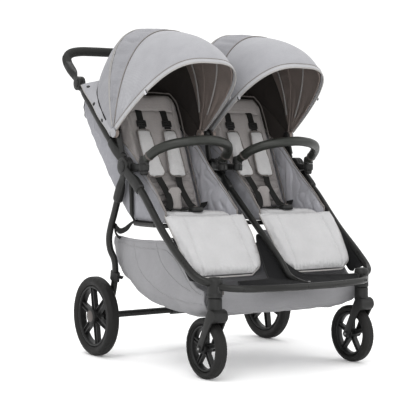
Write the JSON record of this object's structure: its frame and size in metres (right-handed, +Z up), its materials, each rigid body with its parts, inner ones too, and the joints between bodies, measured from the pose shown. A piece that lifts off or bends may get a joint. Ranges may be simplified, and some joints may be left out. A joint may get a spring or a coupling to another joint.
{
  "type": "twin side-by-side pushchair",
  "caption": "Side-by-side twin pushchair on a folding tube frame, with hooded reclining seats, legrests, bumper bars, swivelling front wheels and a shared basket.",
  "frame": {"origin": "centre of the footprint on the ground plane, under the middle of the pushchair", "axes": "+Z up, -Y forwards (the way the occupants face), +X to the occupants' left; node names say left and right as seen from the front, so left is -X"},
  "size_m": [0.76, 1.0052, 1.1091],
  "materials": {
    "frame": "satin black powder coat on tube",
    "plastic": "fine-textured black moulding",
    "grip": "closed-cell foam sleeve, matt",
    "tyre": "matt foam-filled tyre with shallow tread",
    "rim": "moulded black wheel centre, semi-gloss",
    "cloth": "light grey woven canopy cloth",
    "clothdark": "grey woven basket cloth",
    "pad": "warm grey padded cloth",
    "padlight": "very light grey padded cloth",
    "mesh": "dark open mesh",
    "button": "dark grey button moulding",
    "steel": "bare wire"
  },
  "bodies": {
    "seat_frame": {"hub_left": "plastic", "hub_right": "plastic", "upper_tube_left": "frame", "upper_tube_right": "frame", "seat_rail_left": "frame", "seat_rail_right": "frame", "seat_pad_left": "padlight", "seat_pad_right": "padlight", "seat_shell_left": "cloth", "seat_shell_right": "cloth", "canopy_rear_left": "cloth", "canopy_rear_right": "cloth", "harness_buckle_left": "plastic", "harness_buckle_right": "plastic", "center_bracket": "plastic"},
    "front_frame": {"front_leg_left": "frame", "front_leg_right": "frame", "caster_socket_left": "plastic", "caster_socket_right": "plastic", "front_crossbar": "frame", "center_strut": "frame", "footwell_panel": "mesh", "basket": "clothdark"},
    "rear_frame": {"rear_leg_left": "frame", "rear_leg_right": "frame", "rear_axle_bar": "frame"},
    "brake": {"brake_pedal": "plastic"},
    "handlebar": {"handlebar_tube": "frame", "handlebar_grip": "grip"},
    "rear_wheel_left": {"rear_tyre_left": "tyre", "rear_rim_left": "rim"},
    "caster_left": {"caster_fork_left": "plastic"},
    "front_wheel_left": {"front_tyre_left": "tyre", "front_rim_left": "rim"},
    "swivel_lock_left": {"swivel_lock_left": "button"},
    "handle_button_left": {"handle_button_left": "button"},
    "canopy_front_left": {"canopy_front_bow_left": "steel", "canopy_skin_left": "cloth"},
    "canopy_mid_left": {"canopy_mid_bow_left": "steel"},
    "backrest_left": {"backrest_left": "pad"},
    "legrest_left": {"legrest_left": "padlight"},
    "bumper_left": {"bumper_bar_left": "grip"},
    "bumper_button_left": {"bumper_button_left": "button"},
    "buckle_button_left": {"buckle_button_left": "button"},
    "rear_wheel_right": {"rear_tyre_right": "tyre", "rear_rim_right": "rim"},
    "caster_right": {"caster_fork_right": "plastic"},
    "front_wheel_right": {"front_tyre_right": "tyre", "front_rim_right": "rim"},
    "swivel_lock_right": {"swivel_lock_right": "button"},
    "handle_button_right": {"handle_button_right": "button"},
    "canopy_front_right": {"canopy_front_bow_right": "steel", "canopy_skin_right": "cloth"},
    "canopy_mid_right": {"canopy_mid_bow_right": "steel"},
    "backrest_right": {"backrest_right": "pad"},
    "legrest_right": {"legrest_right": "padlight"},
    "bumper_right": {"bumper_bar_right": "grip"},
    "bumper_button_right": {"bumper_button_right": "button"},
    "buckle_button_right": {"buckle_button_right": "button"}
  },
  "joints": [
    {"name": "front_fold", "type": "hinge", "parent": "seat_frame", "child": "front_frame", "pos_m": [0, 0.0451, 0.642], "axis": [1, 0, 0], "range_deg": [0, 33], "deforming": ["basket"]},
    {"name": "rear_fold", "type": "hinge", "parent": "seat_frame", "child": "rear_frame", "pos_m": [0, 0.0451, 0.642], "axis": [1, 0, 0], "range_deg": [-11, 0]},
    {"name": "brake_press", "type": "hinge", "parent": "rear_frame", "child": "brake", "pos_m": [0, 0.2341, 0.134], "axis": [1, 0, 0], "range_deg": [-18, 0]},
    {"name": "handlebar_tilt", "type": "hinge", "parent": "seat_frame", "child": "handlebar", "pos_m": [0, 0.3651, 0.929], "axis": [1, 0, 0], "range_deg": [-120, 15]},
    {"name": "rear_wheel_spin_left", "type": "hinge", "parent": "rear_frame", "child": "rear_wheel_left", "pos_m": [-0.359, 0.2341, 0.134], "axis": [1, 0, 0], "continuous": true},
    {"name": "caster_swivel_left", "type": "hinge", "parent": "front_frame", "child": "caster_left", "pos_m": [-0.2886, -0.3809, 0.25], "axis": [0, 0, 1], "continuous": true},
    {"name": "front_wheel_spin_left", "type": "hinge", "parent": "caster_left", "child": "front_wheel_left", "pos_m": [-0.2886, -0.3359, 0.093], "axis": [1, 0, 0], "continuous": true},
    {"name": "swivel_lock_slide_left", "type": "slide", "parent": "front_frame", "child": "swivel_lock_left", "axis": [0, 0, 1], "range_m": [-0.006, 0]},
    {"name": "handle_button_press_left", "type": "slide", "parent": "handlebar", "child": "handle_button_left", "axis": [1, 0, 0], "range_m": [0, 0.003], "stiffness_N_per_m": 900},
    {"name": "canopy_open_left", "type": "hinge", "parent": "seat_frame", "child": "canopy_front_left", "pos_m": [-0.1824, 0.0981, 0.752], "axis": [-1, 0, 0], "range_deg": [0, 60], "deforming": ["canopy_skin_left"]},
    {"name": "canopy_mid_left", "type": "hinge", "parent": "seat_frame", "child": "canopy_mid_left", "pos_m": [-0.1824, 0.0981, 0.752], "axis": [-1, 0, 0], "range_deg": [0, 22]},
    {"name": "backrest_recline_left", "type": "hinge", "parent": "seat_frame", "child": "backrest_left", "pos_m": [-0.1824, 0.0331, 0.492], "axis": [-1, 0, 0], "range_deg": [0, 18]},
    {"name": "legrest_tilt_left", "type": "hinge", "parent": "seat_frame", "child": "legrest_left", "pos_m": [-0.1824, -0.1699, 0.47], "axis": [-1, 0, 0], "range_deg": [0, 50]},
    {"name": "bumper_swing_left", "type": "hinge", "parent": "seat_frame", "child": "bumper_left", "pos_m": [-0.3344, -0.0459, 0.66], "axis": [0, 0, -1], "range_deg": [0, 90]},
    {"name": "bumper_button_press_left", "type": "slide", "parent": "seat_frame", "child": "bumper_button_left", "axis": [0, 1, 0], "range_m": [0, 0.003], "stiffness_N_per_m": 900},
    {"name": "buckle_button_press_left", "type": "slide", "parent": "seat_frame", "child": "buckle_button_left", "axis": [0, 0, -1], "range_m": [0, 0.003], "stiffness_N_per_m": 900},
    {"name": "rear_wheel_spin_right", "type": "hinge", "parent": "rear_frame", "child": "rear_wheel_right", "pos_m": [0.359, 0.2341, 0.134], "axis": [1, 0, 0], "continuous": true},
    {"name": "caster_swivel_right", "type": "hinge", "parent": "front_frame", "child": "caster_right", "pos_m": [0.2886, -0.3809, 0.25], "axis": [0, 0, 1], "continuous": true},
    {"name": "front_wheel_spin_right", "type": "hinge", "parent": "caster_right", "child": "front_wheel_right", "pos_m": [0.2886, -0.3359, 0.093], "axis": [1, 0, 0], "continuous": true},
    {"name": "swivel_lock_slide_right", "type": "slide", "parent": "front_frame", "child": "swivel_lock_right", "axis": [0, 0, 1], "range_m": [-0.006, 0]},
    {"name": "handle_button_press_right", "type": "slide", "parent": "handlebar", "child": "handle_button_right", "axis": [-1, 0, 0], "range_m": [0, 0.003], "stiffness_N_per_m": 900},
    {"name": "canopy_open_right", "type": "hinge", "parent": "seat_frame", "child": "canopy_front_right", "pos_m": [0.1824, 0.0981, 0.752], "axis": [-1, 0, 0], "range_deg": [0, 60], "deforming": ["canopy_skin_right"]},
    {"name": "canopy_mid_right", "type": "hinge", "parent": "seat_frame", "child": "canopy_mid_right", "pos_m": [0.1824, 0.0981, 0.752], "axis": [-1, 0, 0], "range_deg": [0, 22]},
    {"name": "backrest_recline_right", "type": "hinge", "parent": "seat_frame", "child": "backrest_right", "pos_m": [0.1824, 0.0331, 0.492], "axis": [-1, 0, 0], "range_deg": [0, 18]},
    {"name": "legrest_tilt_right", "type": "hinge", "parent": "seat_frame", "child": "legrest_right", "pos_m": [0.1824, -0.1699, 0.47], "axis": [-1, 0, 0], "range_deg": [0, 50]},
    {"name": "bumper_swing_right", "type": "hinge", "parent": "seat_frame", "child": "bumper_right", "pos_m": [0.3344, -0.0459, 0.66], "axis": [0, 0, 1], "range_deg": [0, 90]},
    {"name": "bumper_button_press_right", "type": "slide", "parent": "seat_frame", "child": "bumper_button_right", "axis": [0, 1, 0], "range_m": [0, 0.003], "stiffness_N_per_m": 900},
    {"name": "buckle_button_press_right", "type": "slide", "parent": "seat_frame", "child": "buckle_button_right", "axis": [0, 0, -1], "range_m": [0, 0.003], "stiffness_N_per_m": 900}
  ],
  "couplings": [
    {"joint": "rear_fold", "follows": "front_fold", "ratio": -0.33333},
    {"joint": "canopy_mid_left", "follows": "canopy_open_left", "ratio": 0.36667},
    {"joint": "canopy_mid_right", "follows": "canopy_open_right", "ratio": 0.36667}
  ]
}
